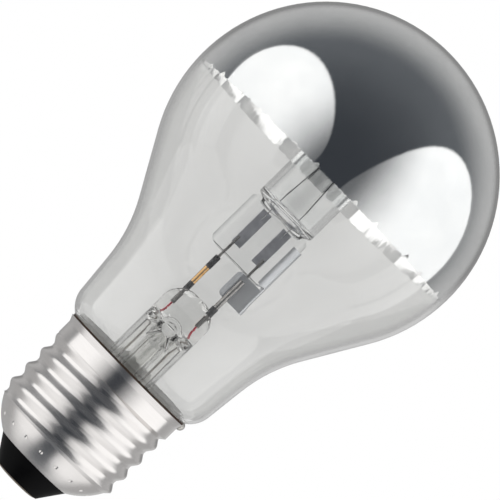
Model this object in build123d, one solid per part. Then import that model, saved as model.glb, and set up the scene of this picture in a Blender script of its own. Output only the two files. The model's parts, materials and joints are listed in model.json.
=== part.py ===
from build123d import *

import os
from math import asin, atan2, copysign, cos, hypot, pi, radians, sin, sqrt, tan

# A mains halogen lamp with an E27 screw cap and a crown that is silvered on the inside.
# Sizes are in millimetres and angles in degrees. The lamp's axis is Z: the face of the centre
# contact is at the origin and the crown is at the top. The burner's flat pinch faces -Y.

# Gap left at every seat and seal
FIT = 0.02

# Centre contact and insulator
CONTACT_DIAMETER = 9.2
CONTACT_HEIGHT = 0.35
CONTACT_FACE_DIAMETER = 6.4
EYELET_DIAMETER = 3.4
EYELET_LENGTH = 2.1
EYELET_BORE = 2.2
SOLDER_LENGTH = 2.0
INSULATOR_TIP_DIAMETER = 9.4
INSULATOR_HEIGHT = 4.25
INSULATOR_INSIDE = 2.8
FUNNEL_DIAMETER = 9.0
FUNNEL_LEAN = 45.0

# Screw shell, rolled from sheet
SHEET = 0.3
SHELL_MOUTH_DIAMETER = 15.2
SHOULDER_HEIGHT = 4.8
SHOULDER_RADIUS = 12.0
THREAD_CREST_DIAMETER = 26.06
THREAD_DEPTH = 0.88
THREAD_PITCH = 3.629
THREAD_LENGTH = 13.2
THREAD_START = 0.8
THREAD_LEAD_IN = 46.0
SKIRT_STEP = 0.05
SKIRT_RISE = 0.8
SKIRT_LENGTH = 2.6
RIM_FLARE = 0.52
RIM_HEIGHT = 1.2
DENT_COUNT = 18
DENT_BALL_DIAMETER = 1.2
DENT_DEPTH = 0.15
DENT_DROP = 2.2
DENT_TURN = -92.0

# Blown glass bulb
BULB_DIAMETER = 60.0
GLASS_WALL = 0.6
CROWN_RISE = 30.6
NECK_LENGTH = 17.2
NECK_LEAN = 6.0
NECK_STEP = 1.58
NECK_BLEND = 5.95
HEEL_BLEND = 1.92
THROAT_BLEND = 1.34
THROAT_GAP = 0.8
SKIRT_GAP = 1.11
SEAL_DROP = 11.2

# Mirror film inside the crown
MIRROR_DEPTH = 31.5
MIRROR_FILM = 0.1
MIRROR_GAP = 0.06

# Cement and side solder at the rim
RIM_GAP = 0.3
CEMENT_LIFT = 0.3
CEMENT_BEAD = 0.6
CEMENT_SPREAD = 0.25
SIDE_LEAD_GAP = 0.39
SIDE_LEAD_RISE = 0.3
SIDE_SOLDER_WIDTH = 2.8
SIDE_SOLDER_DEPTH = 1.8
SIDE_SOLDER_SET_IN = 0.5
SIDE_SOLDER_DROP = 0.3

# Glass stem
STEM_DIAMETER = 10.0
STEM_WALL = 0.9
FLARE_BEAD = 0.4
STEM_LENGTH = 28.8
PRESS_HEIGHT = 7.0
PRESS_THICKNESS = 3.4
PRESS_SLOPE = 4.2
PRESS_BLEND = 2.5
PRESS_TOP_RADIUS = 4.0
PRESS_SLIT = 0.8
EXHAUST_DIAMETER = 4.4
EXHAUST_BORE = 2.6
EXHAUST_DROP = 4.5
EXHAUST_HOLE_WIDTH = 2.8
EXHAUST_HOLE_HEIGHT = 2.4
EXHAUST_HOLE_DROP = 0.6
EXHAUST_LIP_WIDTH = 0.9
EXHAUST_LIP_HEIGHT = 0.3

# Wires from the press down into the cap
LEAD_SPACING = 6.0
LEAD_DIAMETER = 0.4
LEAD_SEAL = 0.4
LEAD_BEND = 1.0
LEAD_CLEARANCE = 1.0

# Wires in the press
SEAL_WIRE_DIAMETER = 0.36
SEAL_WIRE_LENGTH = 2.65
INNER_LEAD_DIAMETER = 0.56
KNOT_DIAMETER = 0.9
KNOT_LENGTH = 2.4

# Fuse on the left lead
CRIMP_DIAMETER = 1.15
CRIMP_SINK = 0.25
CRIMP_GRIP = 1.3
CRIMP_DENT = 0.14
CRIMP_DENT_HEIGHT = 0.7
LOWER_CRIMP_LENGTH = 1.9
UPPER_CRIMP_LENGTH = 2.6
CRIMP_WINDOW = 0.45
FUSE_DIAMETER = 1.05
FUSE_BORE = 0.6
FUSE_LENGTH = 3.65
FUSE_WIRE_DIAMETER = 0.16

# Burner of quartz
BURNER_LIFT = 1.05
PINCH_WIDTH = 13.0
PINCH_HEIGHT = 11.0
PINCH_THICKNESS = 3.2
PINCH_CORNER = 2.3
PINCH_CORNER_SPREAD = 0.4
PINCH_EDGE = 1.2
GROOVE_WIDTH = 9.4
GROOVE_MARGIN = 0.8
GROOVE_DEPTH = 0.3
CAPSULE_DIAMETER = 12.4
CAPSULE_WALL = 1.1
CAPSULE_LENGTH = 12.2
CAPSULE_BASE_SINK = 0.15
CAPSULE_BASE_RISE = 1.4
CAPSULE_FLOOR = 1.2
CAPSULE_DISH = 0.8
TIP_DIAMETER = 2.6
TIP_LENGTH = 1.8

# Foils, wires and filament of the burner
BURNER_LEAD_DIAMETER = 0.5
BURNER_LEAD_TAIL = 3.6
FOIL_SET_IN = 0.55
FOIL_WIDTH = 2.0
FOIL_LENGTH = 7.7
FOIL_THICKNESS = 0.06
FOIL_LIFT = 2.5
FOIL_LAP = 1.5
LEG_DIAMETER = 0.16
LEG_SET_IN = 0.65
LEG_RISE = 2.5
COIL_DIAMETER = 0.32
COIL_HEIGHT = 11.5
COIL_TOP_SPACING = 3.0
COIL_BEND = 1.4

# Clip and support of the burner
CLIP_SHEET = 0.3
CLIP_FIT = 0.05
CLIP_GRIP = 8.6
CLIP_RELIEF = 0.7
PLATE_HEIGHT = 5.4
PLATE_MARGIN = 0.25
PLATE_CORNER = 0.8
WING_WIDTH = 1.0
WING_LEAN = 12.0
FLANGE_ANGLE = 50.0
ROD_DIAMETER = 1.1
ROD_SET_BACK = 1.1
SUPPORT_CRIMP_SINK = 0.6
SUPPORT_CRIMP_LENGTH = 1.9
SUPPORT_CRIMP_WALL = 0.12

# Heights and radii of the cap that follow from the sizes above
SHELL_FOOT = CONTACT_HEIGHT + INSULATOR_HEIGHT
SHOULDER_TOP = SHELL_FOOT + SHOULDER_HEIGHT
THREAD_TOP = SHOULDER_TOP + THREAD_LENGTH
SKIRT_BOTTOM = THREAD_TOP + SKIRT_RISE
FLARE_BOTTOM = SKIRT_BOTTOM + SKIRT_LENGTH
RIM = FLARE_BOTTOM + RIM_HEIGHT
CREST_RADIUS = THREAD_CREST_DIAMETER / 2
ROOT_RADIUS = CREST_RADIUS - THREAD_DEPTH
SKIRT_RADIUS = CREST_RADIUS + SKIRT_STEP
RIM_RADIUS = SKIRT_RADIUS + RIM_FLARE
SHELL_INSIDE = SHEET + FIT

# Heights and radii of the bulb and stem
NECK_TOP = RIM + NECK_LENGTH
CROWN_RADIUS = BULB_DIAMETER / 2
CROWN_CENTRE = NECK_TOP + CROWN_RISE
LAMP_LENGTH = CROWN_CENTRE + CROWN_RADIUS
THROAT_RADIUS = ROOT_RADIUS - SHEET - THROAT_GAP
NECK_END = RIM - SEAL_DROP
STEM_RADIUS = STEM_DIAMETER / 2
FLARE_RADIUS = THROAT_RADIUS - GLASS_WALL - STEM_RADIUS
PRESS_TOP = NECK_END + STEM_LENGTH
PRESS_BOTTOM = PRESS_TOP - PRESS_HEIGHT
EXHAUST_TIP = NECK_END - EXHAUST_DROP
EXHAUST_HOLE = PRESS_BOTTOM - EXHAUST_HOLE_DROP
LEAD_X = LEAD_SPACING / 2
LOWER_JOINT = PRESS_BOTTOM + LEAD_SEAL
UPPER_JOINT = LOWER_JOINT + SEAL_WIRE_LENGTH


def press_top_at(x):
    """Height of the press's rounded top at a distance from the axis."""
    run_out = max(0.0, x - (STEM_RADIUS - PRESS_TOP_RADIUS))
    return PRESS_TOP - PRESS_TOP_RADIUS + sqrt(PRESS_TOP_RADIUS**2 - run_out**2)


# Heights of the fuse and the burner above the press
CRIMP_BOTTOM = press_top_at(LEAD_X) - CRIMP_SINK
FUSE_BOTTOM = CRIMP_BOTTOM + LOWER_CRIMP_LENGTH
FUSE_TOP = FUSE_BOTTOM + FUSE_LENGTH
UPPER_CRIMP_TOP = FUSE_TOP + UPPER_CRIMP_LENGTH
PINCH_BOTTOM = UPPER_CRIMP_TOP + BURNER_LIFT
PINCH_TOP = PINCH_BOTTOM + PINCH_HEIGHT
CAPSULE_RADIUS = CAPSULE_DIAMETER / 2
CAPSULE_CENTRE = PINCH_TOP + CAPSULE_LENGTH
FLOOR = PINCH_TOP + CAPSULE_FLOOR
FOIL_BOTTOM = PINCH_BOTTOM + FOIL_LIFT
FOIL_TOP = FOIL_BOTTOM + FOIL_LENGTH
FOIL_FRONT = BURNER_LEAD_DIAMETER / 2 + FIT
LEG_X = LEAD_X - LEG_SET_IN
LEG_Y = FOIL_FRONT - FIT - LEG_DIAMETER / 2

# Places of the clip and the rod
CLIP_X = (PINCH_WIDTH - PINCH_THICKNESS) / 2
CLIP_INNER = PINCH_THICKNESS / 2 + CLIP_FIT
CLIP_OUTER = CLIP_INNER + CLIP_SHEET
PLATE_BACK = -(BURNER_LEAD_DIAMETER / 2 + FIT)
PLATE_FRONT = PLATE_BACK - CLIP_SHEET
PLATE_TOP = PINCH_BOTTOM - CLIP_FIT
PLATE_BOTTOM = PLATE_TOP - PLATE_HEIGHT
ROD_RADIUS = ROD_DIAMETER / 2
ROD_Y = PLATE_FRONT - FIT - ROD_RADIUS
SUPPORT_CRIMP_RADIUS = ROD_RADIUS + SUPPORT_CRIMP_WALL
SUPPORT_CRIMP_BOTTOM = press_top_at(LEAD_X) - SUPPORT_CRIMP_SINK
SUPPORT_CRIMP_TOP = SUPPORT_CRIMP_BOTTOM + SUPPORT_CRIMP_LENGTH

LEFT = -1
RIGHT = 1


# Ways of making a solid


def turned(*outline):
    """Solid of revolution about the lamp's axis from a closed outline of (radius, height)."""
    return revolve(Plane.XZ * make_face(outline), Axis.Z)


def turned_polygon(*points):
    return turned(Polyline(*points, close=True))


def upright(radius, bottom, top, x=0.0, y=0.0):
    """Round rod parallel to the axis, from one height to another."""
    rod = Cylinder(radius, top - bottom, align=(Align.CENTER, Align.CENTER, Align.MIN))
    return Pos(x, y, bottom) * rod


def bent_wire(radius, bend, *points):
    """Round wire along straight runs with rounded bends."""
    path = FilletPolyline(*points, radius=bend)
    return sweep(Plane(path @ 0, z_dir=path % 0) * Circle(radius), path)


def slab(bottom, top):
    """Block wider than the lamp, between two heights."""
    block = Box(LAMP_LENGTH, LAMP_LENGTH, top - bottom, align=(Align.CENTER, Align.CENTER, Align.MIN))
    return Pos(0, 0, bottom) * block


def side_view(outline, half_width):
    """Solid with an outline of (y, height), running along X."""
    return extrude(Plane.YZ * make_face(outline), half_width, both=True)


# Screw cap


def thread_core(inset):
    """Radius of the plain core, just above the bottom of the rolled groove."""
    groove_fill = 0.06
    return ROOT_RADIUS + groove_fill * THREAD_DEPTH - inset


def thread_ridge(inset):
    """Helical ridge with a cosine wave for its section, long enough to run out at both ends."""
    mean = (CREST_RADIUS + ROOT_RADIUS) / 2 - inset
    swing = THREAD_DEPTH / 2
    reach = 0.46
    steps = 6
    wave = []
    for step in range(-steps, steps + 1):
        share = reach * step / steps
        wave.append((mean + swing * cos(2 * pi * share), share * THREAD_PITCH))
    buried = mean - swing - SHEET
    back = Polyline(wave[-1], (buried, wave[-1][1]), (buried, wave[0][1]), wave[0])
    section = Plane.XZ * make_face(Spline(*wave) + back)
    spare_turns = 2
    turns = int(THREAD_LENGTH / THREAD_PITCH) + 2 * spare_turns
    start = SHOULDER_TOP + THREAD_START - spare_turns * THREAD_PITCH
    helix = Helix(THREAD_PITCH, turns * THREAD_PITCH, mean)
    return Pos(0, 0, start) * sweep(section, helix, is_frenet=True)


def shoulder_centre():
    """Centre (radius, height) of the arc that bulges outwards from the shell's mouth to the thread."""
    mouth = SHELL_MOUTH_DIAMETER / 2
    core = thread_core(0)
    half_run = (core - mouth) / 2
    half_rise = SHOULDER_HEIGHT / 2
    half_chord = hypot(half_run, half_rise)
    reach = sqrt(SHOULDER_RADIUS**2 - half_chord**2)
    radius = (mouth + core) / 2 - reach * half_rise / half_chord
    height = SHELL_FOOT + half_rise + reach * half_run / half_chord
    return radius, height


def shoulder_arc(inset):
    """Arc of the shell's lower shoulder, from the mouth up to the thread's core."""
    centre, height = shoulder_centre()
    radius = SHOULDER_RADIUS - inset
    mouth = centre + sqrt(radius**2 - (height - SHELL_FOOT) ** 2)
    core = thread_core(inset)
    top = height - sqrt(radius**2 - (core - centre) ** 2)
    return RadiusArc((mouth, SHELL_FOOT), (core, top), -radius)


def skirt_body(inset, top):
    """Solid inside the plain skirt and its flared rim, carried on past the rim."""
    skirt = SKIRT_RADIUS - inset
    flare = RIM_RADIUS - inset
    return turned_polygon(
        (0, THREAD_TOP),
        (thread_core(inset) - SHEET / 2, THREAD_TOP),
        (skirt, SKIRT_BOTTOM),
        (skirt, FLARE_BOTTOM),
        (flare, RIM),
        (flare, top),
        (0, top),
    )


def cap_body(inset):
    """Solid inside the shell's outer face, or its inner face, carried on past both its ends."""
    foot = SHELL_FOOT - SHEET
    core = thread_core(inset)
    bar = turned_polygon((0, foot), (core, foot), (core, RIM), (0, RIM))
    threaded = bar + thread_ridge(inset)
    shoulder = shoulder_arc(inset)
    mouth = shoulder @ 0
    top = shoulder @ 1
    reach = core + THREAD_PITCH / 2
    lead_in_top = top.Y + (reach - core) / tan(radians(THREAD_LEAD_IN))
    buried = (SKIRT_BOTTOM + FLARE_BOTTOM) / 2
    rest = Polyline(
        top, (reach, lead_in_top), (reach, buried), (0, buried), (0, foot), (mouth.X, foot), mouth
    )
    trimmed = threaded & turned(shoulder, rest)
    return trimmed + skirt_body(inset, RIM + SHEET)


def dent_balls():
    """Ring of balls that press the small dents into the shoulder."""
    centre, height = shoulder_centre()
    reach = SHOULDER_RADIUS + DENT_BALL_DIAMETER / 2 - DENT_DEPTH
    drop = (height - SHOULDER_TOP + DENT_DROP) * reach / SHOULDER_RADIUS
    place = Pos(centre + sqrt(reach**2 - drop**2), 0, height - drop)
    balls = []
    for number in range(DENT_COUNT):
        turn = Rot(0, 0, DENT_TURN + 360 / DENT_COUNT * number)
        balls.append(turn * place * Sphere(DENT_BALL_DIAMETER / 2))
    return balls


def screw_shell():
    wall = cap_body(0) - cap_body(SHEET)
    return (wall & slab(SHELL_FOOT, RIM)) - dent_balls()


def insulator():
    tip = INSULATOR_TIP_DIAMETER / 2
    mouth = SHELL_MOUTH_DIAMETER / 2
    foot = SHELL_FOOT - FIT
    cone = turned_polygon((0, CONTACT_HEIGHT), (tip, CONTACT_HEIGHT), (mouth, foot), (0, foot))
    arc = shoulder_arc(SHELL_INSIDE)
    low = arc @ 0
    high = arc @ 1
    seat = Polyline(high, (0, high.Y), (0, foot), (low.X, foot), low)
    top = SHELL_FOOT + INSULATOR_INSIDE
    inside = turned(arc, seat) & slab(0, top)
    bore = EYELET_DIAMETER / 2 + FIT
    funnel = FUNNEL_DIAMETER / 2
    funnel_foot = top - (funnel - bore) / tan(radians(FUNNEL_LEAN))
    opening = turned_polygon((0, 0), (bore, 0), (bore, funnel_foot), (funnel, top), (0, top))
    return cone + inside - opening


def centre_contact():
    bore = EYELET_BORE / 2
    eyelet = EYELET_DIAMETER / 2
    back = CONTACT_HEIGHT - FIT
    face_edge = (CONTACT_FACE_DIAMETER / 2, 0)
    rim = (CONTACT_DIAMETER / 2, back)
    crown = TangentArc(face_edge, rim, tangent=(1, 0))
    eyelet_top = CONTACT_HEIGHT + EYELET_LENGTH
    rest = Polyline(rim, (eyelet, back), (eyelet, eyelet_top), (bore, eyelet_top), (bore, 0), face_edge)
    return turned(crown, rest)


def centre_solder():
    hole = upright(LEAD_DIAMETER / 2 + FIT, SOLDER_LENGTH / 2, SOLDER_LENGTH)
    return upright(EYELET_BORE / 2 - FIT, 0, SOLDER_LENGTH) - hole


# Glass bulb and its mirror


def lean_between(low, high):
    """Lean of the line from one point (radius, height) of an outline to another, from upright."""
    return atan2(high[0] - low[0], high[1] - low[1])


def corners_of_bulb():
    """Corners (radius, height) of the bulb's outer outline from its throat up to the crown."""
    slope = tan(radians(NECK_LEAN))
    neck_top = (RIM_RADIUS + NECK_STEP + NECK_LENGTH * slope, NECK_TOP)
    skirt = (SKIRT_RADIUS - SHEET - SKIRT_GAP, FLARE_BOTTOM)
    rim = (RIM_RADIUS - SHEET - RIM_GAP, RIM)
    spread = tan(lean_between(skirt, rim))
    heel_rise = (RIM_RADIUS + NECK_STEP - rim[0]) / (spread - slope)
    heel = (rim[0] + heel_rise * spread, RIM + heel_rise)
    throat = (THROAT_RADIUS, RIM - (rim[0] - THROAT_RADIUS) / spread)
    to_centre = hypot(neck_top[0], CROWN_RISE)
    flank = asin(CROWN_RADIUS / to_centre) - atan2(neck_top[0], CROWN_RISE)
    crown = (CROWN_RADIUS * cos(flank), CROWN_CENTRE - CROWN_RADIUS * sin(flank))
    return throat, heel, neck_top, crown


def bulb_body(inset, end):
    """Solid inside the bulb's outer face, or its inner face when inset by the wall."""
    throat, heel, neck_top, crown = corners_of_bulb()
    leans = [0, lean_between(throat, heel), lean_between(heel, neck_top), lean_between(neck_top, crown)]
    points = [(THROAT_RADIUS - inset, end)]
    radii = []
    blends = (THROAT_BLEND, HEEL_BLEND, NECK_BLEND)
    for corner, low, high, blend in zip((throat, heel, neck_top), leans, leans[1:], blends):
        middle = (low + high) / 2
        half_turn = (high - low) / 2
        shift = inset / cos(half_turn)
        points.append((corner[0] - shift * cos(middle), corner[1] + shift * sin(middle)))
        radii.append(abs(blend / tan(half_turn)) + copysign(inset, half_turn))
    radius = CROWN_RADIUS - inset
    flank = leans[-1]
    crown_foot = (radius * cos(flank), CROWN_CENTRE - radius * sin(flank))
    crown_side = (radius * cos(pi / 4), CROWN_CENTRE + radius * sin(pi / 4))
    crown_top = (0, CROWN_CENTRE + radius)
    side = FilletPolyline(*points, crown_foot, radius=radii)
    dome = ThreePointArc(crown_foot, crown_side, crown_top)
    return turned(side, dome, Polyline(crown_top, (0, end), points[0]))


def glass_bulb():
    return bulb_body(0, NECK_END) - bulb_body(GLASS_WALL, NECK_END - GLASS_WALL)


def mirror_coating():
    outside = CROWN_RADIUS - GLASS_WALL - MIRROR_GAP
    film = Sphere(outside) - Sphere(outside - MIRROR_FILM)
    return Pos(0, 0, CROWN_CENTRE) * film & slab(LAMP_LENGTH - MIRROR_DEPTH, LAMP_LENGTH)


# Leads, cement and solder in the cap


def contact_lead(grow=0.0):
    """Left wire, from the press down past the exhaust tube to the centre contact."""
    low = SHELL_FOOT + INSULATOR_INSIDE
    bend = low + LEAD_X
    return bent_wire(
        LEAD_DIAMETER / 2 + grow,
        LEAD_BEND,
        (-LEAD_X, 0, LOWER_JOINT),
        (-LEAD_X, 0, bend),
        (0, 0, low),
        (0, 0, SOLDER_LENGTH / 2),
    )


def side_lead(grow=0.0):
    """Right wire, from the press down under the flare and up between neck and shell to the rim."""
    under = NECK_END - STEM_WALL - FLARE_BEAD - LEAD_CLEARANCE
    outside = THROAT_RADIUS + THROAT_GAP / 2
    return bent_wire(
        LEAD_DIAMETER / 2 + grow,
        LEAD_BEND,
        (LEAD_X, 0, LOWER_JOINT),
        (LEAD_X, 0, under),
        (outside, 0, under),
        (outside, 0, SKIRT_BOTTOM + CEMENT_LIFT),
        (SKIRT_RADIUS - SHEET - SIDE_LEAD_GAP, 0, FLARE_BOTTOM + SIDE_LEAD_RISE),
    )


def solder_lump(grow=0.0):
    """Lump of solder that hooks over the rim, before the rim is cut out of it."""
    depth = SIDE_SOLDER_DEPTH / 2 + grow
    width = SIDE_SOLDER_WIDTH / 2 + grow
    half = Ellipse(depth, width) & Pos(depth, 0) * Rectangle(2 * depth, 4 * width)
    place = Pos(RIM_RADIUS - SIDE_SOLDER_SET_IN, 0, RIM - SIDE_SOLDER_DROP)
    return place * revolve(half, Axis.Y)


def side_solder():
    rim_wall = skirt_body(-FIT, RIM + FIT) - skirt_body(SHELL_INSIDE, RIM + SIDE_SOLDER_DEPTH)
    return solder_lump() - rim_wall - bulb_body(-FIT, NECK_END) - side_lead(FIT)


def cap_cement():
    skirt = SKIRT_RADIUS - SHELL_INSIDE
    rim = RIM_RADIUS - SHELL_INSIDE
    bottom = SKIRT_BOTTOM + CEMENT_LIFT
    bead = RIM + CEMENT_BEAD
    ring = turned_polygon(
        (0, bottom), (skirt, bottom), (skirt, FLARE_BOTTOM), (rim, RIM), (rim + CEMENT_SPREAD, bead), (0, bead)
    )
    return ring - bulb_body(-FIT, NECK_END - GLASS_WALL) - side_lead(FIT) - solder_lump(FIT)


# Glass stem and the wires sealed in it


def stem_round():
    """Flare, tube and rounded top of the stem before its top is pressed flat."""
    top_corner = (STEM_RADIUS, PRESS_TOP - PRESS_TOP_RADIUS)
    top_edge = (STEM_RADIUS - PRESS_TOP_RADIUS, PRESS_TOP)
    tube_foot = (STEM_RADIUS, NECK_END + FLARE_RADIUS)
    flare_edge = (STEM_RADIUS + FLARE_RADIUS, NECK_END - FIT)
    top = RadiusArc(top_corner, top_edge, -PRESS_TOP_RADIUS)
    flare = TangentArc(tube_foot, flare_edge, tangent=(0, -1))
    bottom = NECK_END - STEM_WALL - FLARE_BEAD
    rim = [flare_edge, (THROAT_RADIUS, NECK_END - FIT), (THROAT_RADIUS, bottom), (0, bottom)]
    return turned(top, flare, Line(tube_foot, top_corner), Polyline(*rim, (0, PRESS_TOP), top_edge))


def stem_hollow():
    """Inside of the flare and tube before its top is pressed flat."""
    bore = STEM_RADIUS - STEM_WALL
    tube_foot = (bore, NECK_END + FLARE_RADIUS)
    bottom = NECK_END - STEM_WALL
    flare_edge = (STEM_RADIUS + FLARE_RADIUS, bottom)
    flare = TangentArc(tube_foot, flare_edge, tangent=(0, -1))
    below = bottom - 2 * FLARE_BEAD
    rest = [flare_edge, (flare_edge[0], below), (0, below), (0, PRESS_BOTTOM), (bore, PRESS_BOTTOM), tube_foot]
    return turned(flare, Polyline(*rest))


def pressed(piece, half_thickness):
    """The piece squeezed flat above the slope of the press."""
    wide = 2 * THROAT_RADIUS
    spread = (STEM_RADIUS - PRESS_THICKNESS / 2) / PRESS_SLOPE
    slope_foot = PRESS_BOTTOM - (wide - half_thickness) / spread
    bottom = EXHAUST_TIP - wide
    above = PRESS_TOP + STEM_WALL
    half = [(wide, bottom), (wide, slope_foot), (half_thickness, PRESS_BOTTOM), (half_thickness, above)]
    other_half = [(-y, height) for y, height in reversed(half)]
    corners = [0, 0, PRESS_BLEND, 0]
    outline = FilletPolyline(*half, *other_half, radius=corners + corners[::-1], close=True)
    return piece & side_view(outline, wide)


def exhaust_tube():
    radius = EXHAUST_DIAMETER / 2
    tip = RadiusArc((0, EXHAUST_TIP), (radius, EXHAUST_TIP + radius), -radius)
    rest = Polyline((radius, EXHAUST_TIP + radius), (radius, PRESS_BOTTOM), (0, PRESS_BOTTOM), (0, EXHAUST_TIP))
    return turned(tip, rest)


def exhaust_opening():
    """Bore of the exhaust tube and the oval hole where it opens in the front of the press."""
    hole = Ellipse(EXHAUST_HOLE_WIDTH / 2, EXHAUST_HOLE_HEIGHT / 2)
    pocket = extrude(Plane.XZ * Pos(0, EXHAUST_HOLE) * hole, PRESS_THICKNESS)
    return upright(EXHAUST_BORE / 2, EXHAUST_TIP + EXHAUST_DIAMETER / 2, EXHAUST_HOLE) + pocket


def exhaust_lip():
    """Raised oval lip round the hole in the press."""
    grow = EXHAUST_LIP_WIDTH
    oval = Ellipse(EXHAUST_HOLE_WIDTH / 2 + grow, EXHAUST_HOLE_HEIGHT / 2 + grow)
    lip = extrude(Plane.XZ * Pos(0, EXHAUST_HOLE) * oval, PRESS_THICKNESS / 2 + EXHAUST_LIP_HEIGHT)
    return fillet(lip.edges().sort_by(Axis.Y)[0], EXHAUST_LIP_HEIGHT)


def stem():
    body = pressed(stem_round(), PRESS_THICKNESS / 2) - pressed(stem_hollow(), PRESS_SLIT / 2)
    body = body + exhaust_tube() + exhaust_lip() - exhaust_opening()
    for side in (LEFT, RIGHT):
        body -= upright(LEAD_DIAMETER / 2 + FIT, PRESS_BOTTOM - FIT, LOWER_JOINT, side * LEAD_X)
        body -= upright(SEAL_WIRE_DIAMETER / 2 + FIT, LOWER_JOINT, UPPER_JOINT, side * LEAD_X)
        body -= inner_lead(side, PRESS_TOP, FIT)
    body -= crimp_sleeve(CRIMP_BOTTOM - FIT, PRESS_TOP, FIT)
    return body - support_sleeve(SUPPORT_CRIMP_BOTTOM - FIT, PRESS_TOP, FIT)


def seal_wire(side):
    return upright(SEAL_WIRE_DIAMETER / 2, LOWER_JOINT, UPPER_JOINT, side * LEAD_X)


def inner_lead(side, top, grow=0.0):
    """Stiff wire with the knot of its weld at the foot."""
    knot = upright(KNOT_DIAMETER / 2 + grow, UPPER_JOINT, UPPER_JOINT + KNOT_LENGTH + grow, side * LEAD_X)
    return knot + upright(INNER_LEAD_DIAMETER / 2 + grow, UPPER_JOINT, top, side * LEAD_X)


# Fuse


def crimp_sleeve(bottom, top, grow=0.0):
    return upright(CRIMP_DIAMETER / 2 + grow, bottom, top, -LEAD_X)


def lower_crimp():
    """Crimp that joins the left inner lead to the fuse, with a dent in front and behind."""
    grip = CRIMP_BOTTOM + CRIMP_GRIP
    piece = crimp_sleeve(CRIMP_BOTTOM, FUSE_BOTTOM - FIT)
    piece -= upright(INNER_LEAD_DIAMETER / 2 + FIT, CRIMP_BOTTOM, grip, -LEAD_X)
    piece -= upright(FUSE_WIRE_DIAMETER / 2 + FIT, grip, FUSE_BOTTOM, -LEAD_X)
    middle = (CRIMP_BOTTOM + FUSE_BOTTOM) / 2
    for side in (LEFT, RIGHT):
        place = Pos(-LEAD_X, side * (CRIMP_DIAMETER - CRIMP_DENT), middle)
        piece -= place * Box(CRIMP_DIAMETER, CRIMP_DIAMETER, CRIMP_DENT_HEIGHT)
    return piece


def upper_crimp():
    """Crimp that joins the fuse to the burner's left wire, with two windows in front."""
    grip = UPPER_CRIMP_TOP - CRIMP_GRIP
    piece = crimp_sleeve(FUSE_TOP + FIT, UPPER_CRIMP_TOP)
    piece -= upright(FUSE_WIRE_DIAMETER / 2 + FIT, FUSE_TOP, grip, -LEAD_X)
    piece -= upright(BURNER_LEAD_DIAMETER / 2 + FIT, grip, UPPER_CRIMP_TOP, -LEAD_X)
    for share in (1 / 4, 3 / 4):
        height = FUSE_TOP + share * UPPER_CRIMP_LENGTH
        place = Pos(-LEAD_X, -CRIMP_DIAMETER / 2 - BURNER_LEAD_DIAMETER / 2, height)
        piece -= place * Box(CRIMP_DIAMETER, CRIMP_DIAMETER, CRIMP_WINDOW)
    return piece


def fuse_sleeve():
    bore = upright(FUSE_BORE / 2, FUSE_BOTTOM, FUSE_TOP, -LEAD_X)
    return upright(FUSE_DIAMETER / 2, FUSE_BOTTOM, FUSE_TOP, -LEAD_X) - bore


def fuse_wire():
    bottom = CRIMP_BOTTOM + CRIMP_GRIP
    top = UPPER_CRIMP_TOP - CRIMP_GRIP
    return upright(FUSE_WIRE_DIAMETER / 2, bottom, top, -LEAD_X)


# Burner


def pinch_body():
    """Flat pinch with round edges, rounded corners and a shallow groove in front and behind."""
    height = PINCH_HEIGHT + CAPSULE_FLOOR / 2
    block = extrude(Pos(0, 0, PINCH_BOTTOM) * SlotOverall(PINCH_WIDTH, PINCH_THICKNESS), height)
    reach = PINCH_WIDTH / 2 + PINCH_CORNER_SPREAD
    top = PINCH_BOTTOM + height
    corners = [(0, PINCH_BOTTOM), (reach, PINCH_BOTTOM), (reach, top), (0, top)]
    rounded = turned(FilletPolyline(*corners, radius=PINCH_CORNER), Line(corners[-1], corners[0]))
    half = PINCH_THICKNESS / 2
    across = [(half, top), (half, PINCH_BOTTOM), (-half, PINCH_BOTTOM), (-half, top)]
    edged = side_view(FilletPolyline(*across, radius=[0, PINCH_EDGE, PINCH_EDGE, 0], close=True), reach)
    pinch = block & rounded & edged
    groove = (GROOVE_WIDTH**2 / 4 + GROOVE_DEPTH**2) / (2 * GROOVE_DEPTH)
    for side in (LEFT, RIGHT):
        centre = side * (PINCH_THICKNESS / 2 - GROOVE_DEPTH + groove)
        pinch -= upright(groove, PINCH_BOTTOM, PINCH_TOP - GROOVE_MARGIN, 0, centre)
    return pinch


def capsule_form(radius, bottom, rise):
    """Round form of the capsule's outside or hollow: rounded bottom, straight side and domed top."""
    base = EllipticalCenterArc((0, bottom + rise), radius, rise, 270, arc_size=90)
    side = Line((radius, bottom + rise), (radius, CAPSULE_CENTRE))
    top = (0, CAPSULE_CENTRE + radius)
    dome = RadiusArc((radius, CAPSULE_CENTRE), top, -radius)
    return turned(base, side, dome, Line(top, (0, bottom)))


def capsule_body():
    """Round capsule with its sealed tip."""
    body = capsule_form(CAPSULE_RADIUS, PINCH_TOP - CAPSULE_BASE_SINK, CAPSULE_BASE_RISE)
    tip_radius = TIP_DIAMETER / 2
    tip_centre = CAPSULE_CENTRE + CAPSULE_RADIUS + TIP_LENGTH - tip_radius
    tip = upright(tip_radius, CAPSULE_CENTRE, tip_centre) + Pos(0, 0, tip_centre) * Sphere(tip_radius)
    return body + tip


def capsule_hollow():
    return capsule_form(CAPSULE_RADIUS - CAPSULE_WALL, FLOOR, CAPSULE_DISH)


def burner():
    body = pinch_body() + capsule_body() - capsule_hollow()
    for side in (LEFT, RIGHT):
        lead_top = FOIL_BOTTOM + FOIL_LAP + FIT
        body -= upright(BURNER_LEAD_DIAMETER / 2 + FIT, PINCH_BOTTOM, lead_top, side * LEAD_X)
        body -= foil(side, FIT)
        body -= upright(LEG_DIAMETER / 2 + FIT, FOIL_TOP - FOIL_LAP - FIT, FLOOR + LEG_RISE, side * LEG_X, LEG_Y)
    return body


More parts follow.
